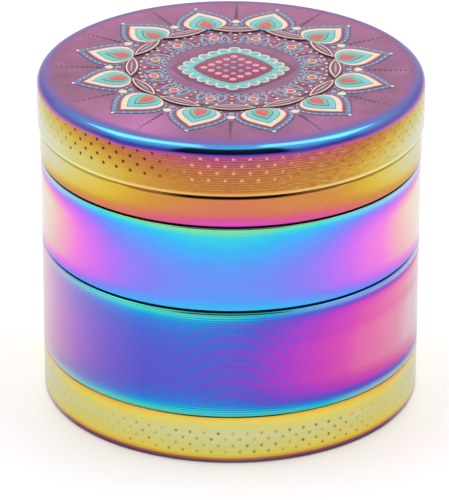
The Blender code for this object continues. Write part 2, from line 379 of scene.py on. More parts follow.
def teeth(name, rings, floor, foot_side, end):
    """Diamond teeth with broken edges; foot_side is +1 where their floor is above them."""
    shape = bmesh.new()
    foot = floor + foot_side * TOOTH_FOOT
    direction = math.copysign(1.0, end - foot)
    levels = ((foot, 1.0), (end - direction * TOOTH_TIP, TOOTH_SHOULDER_SCALE), (end, TOOTH_TIP_SCALE))
    for radius, angle in ring_places(rings):
        close_sections(
            shape, [tooth_section(shape, radius, angle, height, scale) for height, scale in levels])
    bmesh.ops.bevel(
        shape, geom=shape.edges[:], offset=TOOTH_EDGE * MM, segments=2, profile=0.5,
        affect="EDGES", offset_type="OFFSET")
    return link_mesh(name, shape)


def drop_holes(name):
    """Upright cutters for the holes that the ground herb falls through."""
    shape = bmesh.new()
    middle = (CHAMBER_UNDER + CHAMBER_FLOOR) / 2.0
    depth = (CHAMBER_FLOOR - CHAMBER_UNDER) * 2.0
    for radius, angle in ring_places(HOLES):
        made = bmesh.ops.create_cone(
            shape, cap_ends=True, segments=HOLE_SIDES, depth=depth * MM,
            radius1=HOLE_RADIUS * MM, radius2=HOLE_RADIUS * MM)
        x, y = on_circle(radius, angle)
        bmesh.ops.translate(shape, verts=made["verts"], vec=(x * MM, y * MM, middle * MM))
    return link_mesh(name, shape)


def combine(piece, tool, operation):
    """Join a tool to a piece, or cut the piece with it, and remove the tool."""
    boolean = piece.modifiers.new("boolean", "BOOLEAN")
    boolean.operation = operation
    boolean.solver = "EXACT"
    boolean.object = tool
    weld = piece.modifiers.new("weld", "WELD")
    weld.merge_threshold = WELD_DISTANCE * MM
    evaluated = piece.evaluated_get(bpy.context.evaluated_depsgraph_get())
    joined = bpy.data.meshes.new_from_object(evaluated)
    piece.modifiers.clear()
    piece.data = joined
    bpy.data.objects.remove(tool, do_unlink=True)


def dress(piece, body, node, materials, choose=None):
    """Shade, colour and place a finished piece; choose picks each face's material."""
    mesh = piece.data
    mesh.materials.clear()
    for material in materials:
        mesh.materials.append(material)
    if choose:
        for face in mesh.polygons:
            x, y, z = face.center
            face.material_index = choose(math.hypot(x, y) / MM, z / MM)
    mesh.shade_smooth()
    mesh.set_sharp_from_angle(angle=math.radians(SHARP_ANGLE))
    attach(piece, body)
    if node:
        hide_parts(node)


# ---------------------------------------------------------------- colours

COLOURS = {                   # sRGB, 0 to 255
    "aluminium": (206, 208, 212),
    "azure": (66, 182, 248),
    # Painted highlights on the lid's bead and turning marks.
    "gold_painted_highlight": (236, 184, 96),
    "pale_painted_highlight": (236, 230, 160),
    "chalk": (246, 244, 246),
    "copper": (190, 108, 76),
    "coral": (226, 92, 88),
    "cream_ink": (246, 234, 200),
    "crimson": (146, 44, 82),
    "floor_white": (253, 251, 250),
    # Painted reflections on a wall's top edge and on the sieve chamber's foot.
    "painted_edge_reflection": (212, 206, 218),
    "painted_foot_reflection": (206, 192, 184),
    "floor_warm": (249, 244, 241),
    "gold": (216, 188, 78),
    # Painted shade and dark reflection for the lid's groove and turning marks.
    "brown_painted_shade": (52, 26, 14),
    "indigo": (98, 88, 206),
    "lavender": (170, 158, 208),
    "leaf": (112, 196, 160),
    "magenta": (212, 68, 176),
    "mauve": (174, 114, 152),
    "mauve_brown": (158, 108, 134),
    "mauve_pink": (200, 130, 174),
    "mist": (150, 176, 186),
    "navy": (52, 34, 62),
    "nickel": (228, 226, 224),
    "nylon_shade": (236, 234, 230),
    "orange": (206, 148, 68),
    "orchid": (186, 70, 190),
    "pale_gold": (212, 202, 108),
    "pink_bead": (240, 158, 182),
    # Painted shade and painted highlights in the dimples.
    "painted_pit_shade": (44, 30, 16),
    "painted_pit_highlight": (240, 184, 140),
    "olive_pit_painted_shade": (120, 116, 70),
    "plate_purple": (164, 104, 170),
    "plate_sheen": (212, 136, 192),
    "plum": (112, 62, 100),
    "raspberry": (206, 74, 108),
    "rose": (182, 84, 100),
    "slate": (98, 130, 170),
    "steel_shade": (168, 170, 176),
    "teal": (34, 184, 196),
    "turquoise": (104, 212, 212),
    "violet": (176, 124, 246),
    "warm_white": (246, 243, 243),
}

# Interference colours: the film's phase from 0 to 1, and the colour it shows as sRGB.
TRAY_FILM = (
    (0, (84, 46, 98)), (0.12, (146, 88, 100)), (0.17, (184, 128, 92)), (0.22, (206, 154, 70)),
    (0.34, (232, 200, 76)), (0.5, (224, 212, 104)), (0.68, (214, 210, 126)), (0.86, (212, 212, 152)),
    (1, (222, 222, 196)))
SIEVE_FILM = (
    (0, (96, 206, 178)), (0.05, (54, 210, 204)), (0.12, (34, 180, 216)), (0.2, (36, 152, 218)),
    (0.32, (64, 114, 216)), (0.42, (86, 94, 204)), (0.5, (102, 84, 204)), (0.6, (140, 72, 206)),
    (0.7, (184, 66, 194)), (0.8, (212, 80, 178)), (0.88, (226, 116, 172)), (0.95, (226, 150, 178)),
    (1, (228, 192, 204)))
CHAMBER_FILM = (
    (0, (124, 224, 166)), (0.04, (112, 214, 168)), (0.1, (60, 210, 220)), (0.22, (58, 180, 240)),
    (0.34, (88, 154, 243)), (0.46, (122, 129, 240)), (0.56, (165, 115, 237)), (0.66, (204, 110, 232)),
    (0.76, (232, 125, 218)), (0.86, (236, 176, 186)), (0.94, (232, 211, 196)), (1, (232, 222, 201)))
BAND_FILM = (
    (0, (157, 60, 140)), (0.15, (182, 75, 115)), (0.3, (187, 98, 84)), (0.45, (184, 114, 60)),
    (0.55, (194, 132, 60)), (0.65, (204, 154, 58)), (0.75, (212, 180, 72)), (0.85, (208, 198, 106)),
    (0.93, (210, 206, 142)), (1, (216, 220, 188)))
SKIRT_FILM = (
    (0, (228, 72, 206)), (0.12, (216, 84, 150)), (0.25, (214, 108, 108)), (0.4, (214, 124, 92)),
    (0.55, (206, 146, 64)), (0.7, (214, 178, 60)), (0.8, (222, 196, 78)), (0.9, (212, 206, 130)),
    (1, (216, 215, 188)))

# Plating inside each piece: the film's phase from 0 to 1, which rises with the height.
TRAY_INSIDE = ((0, "pale_gold"), (0.35, "gold"), (0.6, "orange"), (0.8, "rose"), (1, "orchid"))
SIEVE_INSIDE = (
    (0, "gold"), (0.25, "orange"), (0.45, "raspberry"), (0.65, "orchid"), (0.85, "indigo"), (1, "azure"))
CHAMBER_INSIDE = (
    (0, "teal"), (0.2, "azure"), (0.4, "violet"), (0.6, "magenta"), (0.8, "copper"), (1, "gold"))
LID_INSIDE = (
    (0, "azure"), (0.2, "indigo"), (0.4, "magenta"), (0.6, "copper"), (0.8, "gold"), (1, "pale_gold"))

# The lid's plating along its outline, in millimetres from where the plate turns down into the rim. The
# front table is bluer than the side table: a painted iridescent sheen.
RIM_END = 3.9                 # where the wall's plating takes over
RIM_FRONT = (
    (-2.4, (174, 114, 152)), (0, (138, 108, 178)), (0.34, (126, 118, 190)), (0.72, (110, 130, 206)),
    (1.14, (90, 158, 222)), (1.58, (82, 172, 232)), (2.02, (86, 164, 228)), (2.46, (68, 124, 200)),
    (2.88, (56, 68, 162)), (3.26, (90, 50, 146)), (3.6, (152, 84, 166)), (RIM_END, (180, 80, 140)))
RIM_SIDE = (
    (-1.4, (174, 114, 152)), (0, (152, 108, 170)), (0.34, (142, 110, 175)), (0.72, (133, 113, 187)),
    (1.14, (115, 107, 187)), (1.58, (102, 99, 180)), (2.02, (106, 88, 173)), (2.46, (120, 86, 173)),
    (2.88, (150, 100, 168)), (3.26, (168, 113, 165)), (RIM_END, (196, 146, 160)))


def linear(colour):
    """A colour, by name or as sRGB from 0 to 255, as Blender's linear RGBA."""
    channels = []
    for value in COLOURS.get(colour, colour):
        share = value / 255.0
        channels.append(share / 12.92 if share <= 0.04045 else ((share + 0.055) / 1.055) ** 2.4)
    return (*channels, 1.0)


def grey(value):
    return (value, value, value, 1.0)


class Nodes:
    """A node tree of a material or a world, with short ways to add nodes to it."""

    def __init__(self, owner):
        owner.use_nodes = True
        self.tree = owner.node_tree

    def put(self, value, socket):
        """Link an output to a socket, or set the socket's own value; a colour may be named."""
        if isinstance(value, bpy.types.NodeSocket):
            self.tree.links.new(value, socket)
        else:
            socket.default_value = linear(value) if isinstance(value, str) else value

    def math(self, operation, *values, clamp=False):
        node = self.tree.nodes.new("ShaderNodeMath")
        node.operation = operation
        node.use_clamp = clamp
        for socket, value in zip(node.inputs, values):
            self.put(value, socket)
        return node.outputs[0]

    def add(self, first, second, clamp=False):
        return self.math("ADD", first, second, clamp=clamp)

    def times(self, first, second, clamp=False):
        return self.math("MULTIPLY", first, second, clamp=clamp)

    def distance(self, x, y):
        return self.math("SQRT", self.add(self.times(x, x), self.times(y, y)))

    def share(self, part, whole):
        """part / whole, for a whole that may come near zero."""
        return self.math("DIVIDE", part, self.math("MAXIMUM", whole, 0.001))

    def spread(self, value, low, high, to_low=0.0, to_high=1.0, shape="LINEAR"):
        """The value rescaled from one range to another, and held inside it."""
        node = self.tree.nodes.new("ShaderNodeMapRange")
        node.interpolation_type = shape
        for socket, item in zip(node.inputs, (value, low, high, to_low, to_high)):
            self.put(item, socket)
        return node.outputs[0]

    def ramp(self, value, stops):
        """Colour over a value; a stop is (place, RGBA), and the places share the value's unit."""
        low = stops[0][0]
        high = stops[-1][0]
        node = self.tree.nodes.new("ShaderNodeValToRGB")
        elements = node.color_ramp.elements
        while len(elements) < len(stops):
            elements.new(1.0)
        for element, (place, colour) in zip(elements, stops):
            element.position = (place - low) / (high - low)
            element.color = colour
        self.put(self.spread(value, low, high), node.inputs[0])
        return node.outputs[0]

    def curve(self, value, stops):
        """A number that follows (place, number) stops."""
        return self.ramp(value, [(place, grey(number)) for place, number in stops])

    def colours(self, value, stops):
        """A colour that follows (place, colour) stops."""
        return self.ramp(value, [(place, linear(colour)) for place, colour in stops])

    def blend(self, factor, first, second, mode="MIX"):
        node = self.tree.nodes.new("ShaderNodeMix")
        node.data_type = "RGBA"
        node.blend_type = mode
        self.put(factor, node.inputs[0])
        self.put(first, node.inputs[6])
        self.put(second, node.inputs[7])
        return node.outputs[2]

    def noise(self, vector, scale, detail=3.0):
        node = self.tree.nodes.new("ShaderNodeTexNoise")
        self.put(vector, node.inputs["Vector"])
        self.put(scale, node.inputs["Scale"])
        self.put(detail, node.inputs["Detail"])
        return node.outputs[0]

    def vector(self, x, y, z):
        node = self.tree.nodes.new("ShaderNodeCombineXYZ")
        for socket, value in zip(node.inputs, (x, y, z)):
            self.put(value, socket)
        return node.outputs[0]

    def parts(self, vector):
        """The x, y and z of a vector."""
        node = self.tree.nodes.new("ShaderNodeSeparateXYZ")
        self.put(vector, node.inputs[0])
        return node.outputs


class Surface(Nodes):
    """A material's nodes, and the place of the point that they colour.

    point, x, y and z are in the object's axes and in millimetres.  radius is the distance from the axis.
    side is x / radius: -1 at the left end of the front, and 1 at its right end.
    """

    def __init__(self, name):
        self.material = bpy.data.materials.new(name)
        super().__init__(self.material)
        self.shader = self.tree.nodes["Principled BSDF"]
        scaled = self.tree.nodes.new("ShaderNodeVectorMath")
        scaled.operation = "SCALE"
        self.put(self.tree.nodes.new("ShaderNodeTexCoord").outputs["Object"], scaled.inputs[0])
        self.put(1.0 / MM, scaled.inputs["Scale"])
        self.point = scaled.outputs[0]
        self.x, self.y, self.z = self.parts(self.point)
        self.radius = self.distance(self.x, self.y)
        self.side = self.share(self.x, self.radius)

    def shade(self, **inputs):
        """Set the shader's sockets, named with underscores for spaces."""
        for name, value in inputs.items():
            self.put(value, self.shader.inputs[name.replace("_", " ")])

    def cloud(self, scale, detail, low, high, to_low=0.0, to_high=1.0):
        """Noise over the surface, rescaled from one range to another."""
        return self.spread(self.noise(self.point, scale, detail), low, high, to_low, to_high)

    def across(self, stops):
        """A number that follows (side, number) stops."""
        return self.curve(self.side, stops)

    def off_centre(self, low, high, to_low=0.0, to_high=1.0):
        """A number that changes from the middle of the front to its ends."""
        return self.spread(self.math("ABSOLUTE", self.side), low, high, to_low, to_high)

    def bump(self, height, distance):
        """Surface relief; the distance is in millimetres."""
        node = self.tree.nodes.new("ShaderNodeBump")
        self.put(distance * MM, node.inputs["Distance"])
        self.put(height, node.inputs["Height"])
        self.shade(Normal=node.outputs[0])


# ---------------------------------------------------------------- materials

EDGE_TINT = 0.84              # how bright plated metal stays at a grazing look
TRAY_SHADE = 0.96             # how much darker each outer wall is than its film's own colours
SIEVE_SHADE = 0.91
CHAMBER_SHADE = 0.95
LID_SHADE = 0.88
SIEVE_PALE_EDGE = (26.1, 26.7)                   # heights over which a wall's top edge takes a painted pale reflection
CHAMBER_PALE_EDGE = (40.6, 41.6)
SIEVE_GREY_FOOT = (9.9, 9.0)                     # and over which the sieve chamber's foot takes a painted grey reflection
MARK_RELIEF = 0.006           # depth of the turning marks
LID_MARK_RELIEF = 0.010
BARE_MARK_RELIEF = 0.005
INK_RELIEF = 0.003
COARSE_MARKS = 0.5            # distance between turning marks
FINE_MARKS = 0.42
INNER_MARKS = 0.3
UNEVEN = 0.02                 # how far the film's phase wanders
STREAKS = 0.018               # and how far it wanders from one bearing to the next
WALL_BAND = 0.6               # faces this near the outer radius take the outer wall's plating
WALL_SLACK = 0.01             # and may lie this far past the wall's ends


def lathe_rings(nodes, pitch):
    """Fine turning marks: a wave along the outline, of uneven depth."""
    along = nodes.add(nodes.z, nodes.radius)
    wave = nodes.math("SINE", nodes.times(along, TAU / pitch))
    depth = nodes.noise(nodes.vector(0.0, 0.0, along), 1.7, 2.0)
    return nodes.times(wave, depth)


def metal(nodes, colour, roughness=(0.13, 0.24)):
    """Polished plated metal: an uneven gloss and faint handling marks; returns the roughness."""
    patches = nodes.noise(nodes.point, 0.16, 4.0)
    grain = nodes.noise(nodes.point, 2.6, 2.0)
    uneven = nodes.add(nodes.times(patches, 0.7), nodes.times(grain, 0.3))
    rough = nodes.spread(uneven, 0.3, 0.7, *roughness)
    nodes.shade(Base_Color=colour, Metallic=1.0, Roughness=rough, Specular_Tint=grey(EDGE_TINT))
    return rough


def pits(nodes, surface):
    """1 inside the dimples of a band, and 0 on its surface."""
    return nodes.spread(
        nodes.radius, surface - 0.6 * DIMPLE_DEPTH, surface - 0.1 * DIMPLE_DEPTH, 1.0, 0.0)


def film_phase(nodes, upright, gain, sideways, marks, strength):
    """A film's phase: a part over the height, a part over the side times its gain, and the marks. The part
    over the side is a painted iridescent sheen: it moves the colour along the film towards the ends of the
    front, as a grazing view would. Where it reaches the film's pale last colours, these are a painted
    grazing reflection.
    """
    turning = nodes.vector(nodes.times(nodes.side, 0.6), 0.0, nodes.times(nodes.z, 1.2))
    depth = nodes.off_centre(0.7, 0.95, 1.0, 0.25)
    uneven = nodes.times(nodes.spread(nodes.noise(turning, 2.2), 0.0, 1.0, -UNEVEN, UNEVEN), depth)
    streak = nodes.vector(nodes.times(nodes.side, 9.0), 0.0, nodes.times(nodes.z, 0.03))
    streaks = nodes.spread(nodes.noise(streak, 1.4), 0.0, 1.0, -STREAKS, STREAKS)
    across = nodes.times(nodes.across(sideways), nodes.curve(nodes.z, gain))
    base = nodes.add(nodes.curve(nodes.z, upright), across)
    phase = nodes.add(base, nodes.add(uneven, streaks))
    return nodes.math("MULTIPLY_ADD", marks, strength, phase, clamp=True)


def film_colour(nodes, phase, film, shade):
    """The colour a film shows at a phase, darkened to its wall's share."""
    return nodes.blend(1.0, nodes.colours(phase, film), grey(shade), "MULTIPLY")


def tray_outside():
    nodes = Surface("tray_plating")
    top = TRAY_TOP + TRAY_LINE / 2.0
    upright = (
        (0, 0), (0.5, 0.03), (0.9, 0.14), (1.25, 0.26), (2, 0.46), (3.5, 0.64), (5, 0.76), (6.5, 0.6),
        (7.4, 0.42), (7.9, 0.34), (top, 0.2))
    gain = ((0, 0.3), (1, 0.6), (3, 1), (7, 1), (top, 0.3))
    # Painted iridescent sheen: the film's shift across the front.
    sideways = (
        (-1, 0.1), (-0.85, 0.03), (-0.6, 0), (-0.3, 0.06), (0, 0.12), (0.35, 0.03), (0.85, 0),
        (1, 0.06))
    marks = lathe_rings(nodes, COARSE_MARKS)
    phase = film_phase(nodes, upright, gain, sideways, marks, 0.05)
    colour = film_colour(nodes, phase, TRAY_FILM, TRAY_SHADE)
    # Painted pale reflection towards both ends of the front, where the wall is seen at a grazing angle.
    pale = nodes.across((
        (-1, 0.6), (-0.92, 0.3), (-0.8, 0), (0.8, 0), (0.92, 0.3), (1, 0.6)))
    colour = nodes.blend(pale, colour, linear(TRAY_FILM[-1][1]))
    # Painted shade in the dimples, mostly across the front and uneven from place to place.
    shown = nodes.across((
        (-1, 0), (-0.65, 0.1), (-0.45, 0.75), (0.1, 0.8), (0.5, 1), (0.68, 0.5), (0.8, 0), (1, 0)))
    unlike = nodes.cloud(0.55, 1.0, 0.38, 0.62, 0.35, 1.0)
    dark = nodes.times(pits(nodes, BODY_RADIUS), nodes.times(shown, unlike))
    metal(nodes, nodes.blend(dark, colour, "olive_pit_painted_shade"))
    nodes.bump(marks, MARK_RELIEF)
    return nodes.material


def sieve_outside():
    nodes = Surface("sieve_plating")
    bottom = SIEVE_BOTTOM - TRAY_LINE / 2.0
    upright = (
        (bottom, 0), (8.95, 0.01), (9.3, 0.05), (9.7, 0.12), (10.2, 0.2), (11, 0.29), (12.5, 0.37),
        (14, 0.42), (20, 0.41), (23, 0.34), (24.4, 0.28), (25.5, 0.19), (26.2, 0.07), (26.7, 0),
        (SIEVE_TOP, 0))
    gain = (
        (bottom, 0.12), (9.3, 0.2), (10.1, 0.52), (11, 0.76), (13, 0.8), (22, 0.8), (24, 0.92),
        (25.4, 1), (26.1, 0.8), (26.7, 0.5), (SIEVE_TOP, 0.4))
    # Painted iridescent sheen: the film's shift across the front.
    sideways = (
        (-1, 0.34), (-0.9, 0.27), (-0.8, 0.19), (-0.7, 0.13), (-0.6, 0.085), (-0.5, 0.045), (-0.2, 0),
        (0, 0.08), (0.1, 0.14), (0.2, 0.24), (0.4, 0.38), (0.5, 0.44), (0.6, 0.51), (0.7, 0.57),
        (0.8, 0.62), (0.9, 0.69), (1, 0.78))
    marks = lathe_rings(nodes, FINE_MARKS)
    strength = nodes.off_centre(0.0, 0.6, 0.24, 0.0)
    phase = film_phase(nodes, upright, gain, sideways, marks, strength)
    colour = film_colour(nodes, phase, SIEVE_FILM, SIEVE_SHADE)
    # Painted pale reflection at the left end of the front, where the wall is seen at a grazing angle.
    pale = nodes.across((
        (-1, 0.92), (-0.96, 0.76), (-0.9, 0.48), (-0.8, 0.24), (-0.7, 0.13), (-0.6, 0.06), (-0.45, 0),
        (1, 0)))
    colour = nodes.blend(pale, colour, linear(SIEVE_FILM[-1][1]))
    # Painted pale reflection along the top edge, strongest at the right end.
    right_end = nodes.across((
        (-1, 0), (0.2, 0), (0.4, 0.16), (0.6, 0.24), (0.8, 0.36), (0.9, 0.6), (1, 0.95)))
    at_top = nodes.times(nodes.spread(nodes.z, *SIEVE_PALE_EDGE), right_end)
    colour = nodes.blend(at_top, colour, "painted_edge_reflection")
    # Painted grey reflection on the foot, towards the right end.
    at_foot = nodes.times(
        nodes.spread(nodes.z, *SIEVE_GREY_FOOT), nodes.spread(nodes.side, 0.5, 0.95, 0.0, 0.8))
    metal(nodes, nodes.blend(at_foot, colour, "painted_foot_reflection"))
    nodes.bump(marks, MARK_RELIEF)
    return nodes.material


def chamber_outside():
    nodes = Surface("chamber_plating")
    upright = (
        (CHAMBER_BOTTOM, 0.12), (28.4, 0.24), (29.4, 0.33), (30.5, 0.37), (33, 0.385), (35.5, 0.34),
        (38, 0.23), (40.4, 0.11), (41.2, 0.04), (41.7, 0), (CHAMBER_TOP, 0))
    gain = (
        (CHAMBER_BOTTOM, 0.3), (28, 0.5), (28.8, 0.6), (30.2, 0.68), (33, 0.69), (35.5, 0.78),
        (38, 0.93), (39.5, 0.92), (40.6, 0.82), (41.3, 0.48), (41.7, 0.28), (CHAMBER_TOP, 0.22))
    # Painted iridescent sheen: the film's shift across the front.
    sideways = (
        (-1, 0.88), (-0.9, 0.7), (-0.8, 0.55), (-0.7, 0.41), (-0.6, 0.27), (-0.5, 0.18), (-0.4, 0.12),
        (-0.2, 0.02), (0, 0), (0.2, 0.06), (0.4, 0.18), (0.5, 0.26), (0.6, 0.37), (0.7, 0.49),
        (0.8, 0.58), (0.9, 0.72), (1, 0.9))
    marks = lathe_rings(nodes, COARSE_MARKS)
    strength = nodes.off_centre(0.0, 0.6, 0.04, 0.0)
    phase = film_phase(nodes, upright, gain, sideways, marks, strength)
    colour = film_colour(nodes, phase, CHAMBER_FILM, CHAMBER_SHADE)
    # Painted pale reflection along the top edge, towards both ends of the front.
    ends = nodes.across((
        (-1, 0.85), (-0.9, 0.5), (-0.8, 0.22), (-0.65, 0), (0.45, 0), (0.7, 0.2), (0.8, 0.36),
        (0.9, 0.6), (1, 0.85)))
    at_top = nodes.times(nodes.spread(nodes.z, *CHAMBER_PALE_EDGE), ends)
    metal(nodes, nodes.blend(at_top, colour, "painted_edge_reflection"))
    nodes.bump(marks, MARK_RELIEF)
    return nodes.material


def rim_plating(nodes, along):
    """Mauve on the plate, then violet and blue over the rim; the front is bluer than the sides, a painted
    iridescent sheen, and the plate carries a painted pink sheen.
    """
    mottle = nodes.cloud(0.22, 4.0, 0.35, 0.65)
    plate = nodes.blend(mottle, "mauve", "mauve_brown")
    patches = nodes.cloud(0.13, 3.0, 0.5, 0.72, 0.0, 0.7)
    plate = nodes.blend(patches, plate, "mauve_pink")
    # Painted sheen: the plate turns pinker towards the back.
    painted_back_sheen = nodes.spread(nodes.y, 0.1 * LID_RADIUS, 0.8 * LID_RADIUS, 0.0, 0.55)
    plate = nodes.blend(painted_back_sheen, plate, "mauve_pink")
    # Painted sheen near the rim at the front left and, fainter, at the front right.
    bearing = nodes.across((
        (-1, 0.1), (-0.8, 0.15), (-0.5, 0.95), (-0.22, 0.05), (0.25, 0), (0.5, 0.3), (0.8, 0), (1, 0)))
    outer = nodes.times(nodes.spread(along, -10.0, -5.5), nodes.spread(nodes.y, -5.0, -12.0))
    in_front = nodes.spread(nodes.y, -0.5 * LID_RADIUS, -0.95 * LID_RADIUS)
    near_rim = nodes.times(in_front, nodes.spread(along, -5.0, -0.8))
    plate = nodes.blend(nodes.times(near_rim, 0.9), plate, "plate_purple")
    plate = nodes.blend(nodes.times(outer, bearing), plate, "plate_sheen")
    # Painted iridescent sheen: the rim is bluer across the front than towards its ends.
    rim = nodes.blend(
        nodes.off_centre(0.6, 0.95), nodes.colours(along, RIM_FRONT), nodes.colours(along, RIM_SIDE))
    return nodes.blend(nodes.spread(along, -1.3, 0.0), plate, rim)


def band_plating(nodes, marks):
    """The dimpled band and, below its groove, the skirt: gold at the sides and copper in front, a painted
    iridescent sheen.
    """
    upright = (
        (LID_BOTTOM, 0), (42.7, 0), (43.3, 0.03), (43.9, 0.15), (44.6, 0.3), (45.5, 0.38), (47.2, 0.42),
        (47.6, 0.44), (50, 0.45), (51.2, 0.38), (52.5, 0.28), (53.8, 0.08), (54.6, 0.02),
        (LID_TOP, 0))
    gain = (
        (LID_BOTTOM, 0.82), (43.2, 0.89), (44, 0.93), (45, 0.85), (47.5, 0.79), (52, 0.8), (54, 1),
        (LID_TOP, 1))
    # Painted iridescent sheen: the film's shift across the front.
    sideways = (
        (-1, 0.8), (-0.9, 0.68), (-0.8, 0.57), (-0.7, 0.49), (-0.6, 0.41), (-0.5, 0.3), (-0.4, 0.2),
        (-0.2, 0.08), (0, 0), (0.2, 0.06), (0.4, 0.11), (0.5, 0.16), (0.6, 0.25), (0.7, 0.4),
        (0.8, 0.54), (0.9, 0.67), (1, 0.8))
    phase = film_phase(nodes, upright, gain, sideways, marks, 0.1)
    band = film_colour(nodes, phase, BAND_FILM, LID_SHADE)
    skirt = film_colour(nodes, phase, SKIRT_FILM, LID_SHADE)
    return nodes.blend(nodes.spread(nodes.z, GROOVE_BOTTOM, GROOVE_BOTTOM + 0.2), skirt, band)


def band_details(nodes, wall, marks):
    """The turning marks, dimples, groove and bead of the lid's wall, as painted shade and painted
    highlights in its colour.
    """
    on_band = nodes.curve(nodes.z, (
        (LID_BOTTOM, 0.25), (47.2, 0.25), (48.4, 1), (54.2, 1), (54.9, 0), (LID_TOP, 0)))
    # Painted shade and painted highlights along the turning marks and in dark and light flecks, strongest
    # across the front.
    ring_strength = nodes.across((
        (-1, 0), (-0.7, 0.15), (-0.3, 0.75), (0.2, 1), (0.6, 0.7), (1, 0.1)))
    rings = nodes.times(nodes.times(marks, ring_strength), on_band)
    stretched = nodes.vector(nodes.times(nodes.side, 26.0), 0.0, nodes.times(nodes.z, 3.0))
    painted_fleck_share = nodes.across((
        (-1, 0), (-0.85, 0.1), (-0.5, 0.35), (-0.2, 0.3), (0.2, 0.5), (0.45, 1), (0.8, 0.8), (1, 0.1)))
    painted_flecks = nodes.spread(nodes.noise(stretched, 1.0, 2.0), 0.3, 0.7, -1.0, 1.0)
    painted_flecks = nodes.times(nodes.times(painted_flecks, painted_fleck_share), on_band)
    for pattern, strength, colour in (
            (rings, 0.45, "brown_painted_shade"), (rings, -0.5, "gold_painted_highlight"),
            (painted_flecks, 0.25, "brown_painted_shade"), (painted_flecks, -0.14, "pale_painted_highlight")):
        wall = nodes.blend(nodes.times(pattern, strength, clamp=True), wall, colour)
    # Painted shade in the dimples towards the ends of the front, and painted highlights in them across its
    # middle.
    pit_painted_light = nodes.colours(nodes.side, (
        (-1, "painted_pit_shade"), (-0.32, "painted_pit_shade"), (-0.22, "painted_pit_highlight"), (0.35, "painted_pit_highlight"),
        (0.45, "painted_pit_shade"), (1, "painted_pit_shade")))
    pit_strength = nodes.across((
        (-1, 0.1), (-0.87, 0.2), (-0.8, 0.8), (-0.7, 0.95), (-0.45, 0.85), (-0.36, 0.6), (-0.27, 0),
        (-0.2, 0.65), (0.2, 0.55), (0.4, 0), (0.55, 0.25), (0.9, 0.25), (1, 0.1)))
    in_rows = nodes.spread(nodes.z, GROOVE_TOP + 1.0, GROOVE_TOP + 1.4)
    in_pit = nodes.times(nodes.times(pits(nodes, LID_RADIUS), in_rows), pit_strength)
    wall = nodes.blend(in_pit, wall, pit_painted_light)
    # Painted dark reflection in the groove across the front, and a painted highlight along the bead above
    # it.
    groove = nodes.curve(nodes.z, (
        (47, 0), (47.28, 0), (47.38, 1), (47.66, 1), (47.78, 0), (49, 0)))
    bead = nodes.curve(nodes.z, (
        (47, 0), (47.8, 0), (47.95, 1), (48.25, 1), (48.6, 0), (49, 0)))
    in_front = nodes.across((
        (-1, 0.15), (-0.55, 0.2), (-0.36, 0.3), (-0.23, 1), (0.25, 1), (0.4, 0.5), (0.5, 0.45),
        (1, 0.2)))
    bead_painted_highlight = nodes.blend(nodes.off_centre(0.1, 0.7), "gold_painted_highlight", "pale_painted_highlight")
    wall = nodes.blend(nodes.times(bead, 0.65), wall, bead_painted_highlight)
    return nodes.blend(nodes.times(groove, in_front), wall, "brown_painted_shade")


def lid_outside():
    """The lid's plating runs from the plate over the polished rim and down the side."""
    nodes = Surface("lid_plating")
    beyond = nodes.math("SUBTRACT", nodes.radius, LID_RADIUS - LID_EDGE)
    along = nodes.add(beyond, nodes.math("SUBTRACT", LID_TOP, nodes.z))
    along = nodes.add(along, nodes.cloud(0.12, 3.0, 0.3, 0.7, -0.15, 0.15))
    marks = lathe_rings(nodes, FINE_MARKS)
    wall = band_details(nodes, band_plating(nodes, marks), marks)
    rim = rim_plating(nodes, along)
    rough = metal(nodes, nodes.blend(nodes.spread(along, RIM_END - 0.5, RIM_END), rim, wall))
    duller = nodes.spread(along, -0.4, 0.2, 0.24, 0.0)
    rim_share = nodes.curve(along, (
        (-1, 1), (-0.2, 1), (0.6, 0.65), (3.2, 0.5), (3.6, 1), (4, 1)))
    nodes.shade(Roughness=nodes.math("MULTIPLY_ADD", rough, rim_share, duller))
    nodes.bump(marks, LID_MARK_RELIEF)
    return nodes.material


def inner_plating(name, film, low, high):
    """Plating on inner walls, teeth and threads: the film drifts with the height and along the radius."""
    nodes = Surface(name)
    rise = nodes.spread(nodes.z, low, high, 0.1, 0.85)
    reach = nodes.times(nodes.radius, 0.006)
    drift = nodes.cloud(0.09, 3.0, 0.3, 0.7, -0.12, 0.12)
    phase = nodes.add(nodes.add(rise, reach), drift, clamp=True)
    metal(nodes, nodes.colours(phase, film), (0.2, 0.36))
    nodes.bump(lathe_rings(nodes, INNER_MARKS), MARK_RELIEF)
    return nodes.material


def bare_metal(name, light, dark, roughness, ring_pitch):
    nodes = Surface(name)
    cloud = nodes.cloud(0.5, 4.0, 0.35, 0.65)
    metal(nodes, nodes.blend(cloud, light, dark), roughness)
    nodes.bump(lathe_rings(nodes, ring_pitch), BARE_MARK_RELIEF)
    return nodes.material


def nylon():
    nodes = Surface("white_nylon")
    cloud = nodes.cloud(0.12, 2.0, 0.3, 0.7)
    nodes.shade(
        Base_Color=nodes.blend(cloud, "warm_white", "nylon_shade"),
        Roughness=nodes.cloud(1.2, 3.0, 0.3, 0.7, 0.38, 0.46),
        Subsurface_Weight=0.1, Subsurface_Scale=0.8 * MM)
    return nodes.material


def ink(name):
    """Printed enamel: slightly uneven colour with a fine orange-peel gloss."""
    nodes = Surface("ink_" + name)
    cloud = nodes.cloud(0.9, 3.0, 0.3, 0.7, 0.0, 0.22)
    nodes.shade(
        Base_Color=nodes.blend(cloud, name, "mauve"),
        Roughness=nodes.cloud(3.0, 3.0, 0.3, 0.7, 0.3, 0.45),
        Metallic=0.25)
    nodes.bump(nodes.noise(nodes.point, 5.0), INK_RELIEF)
    return nodes.material


# ---------------------------------------------------------------- turned pieces

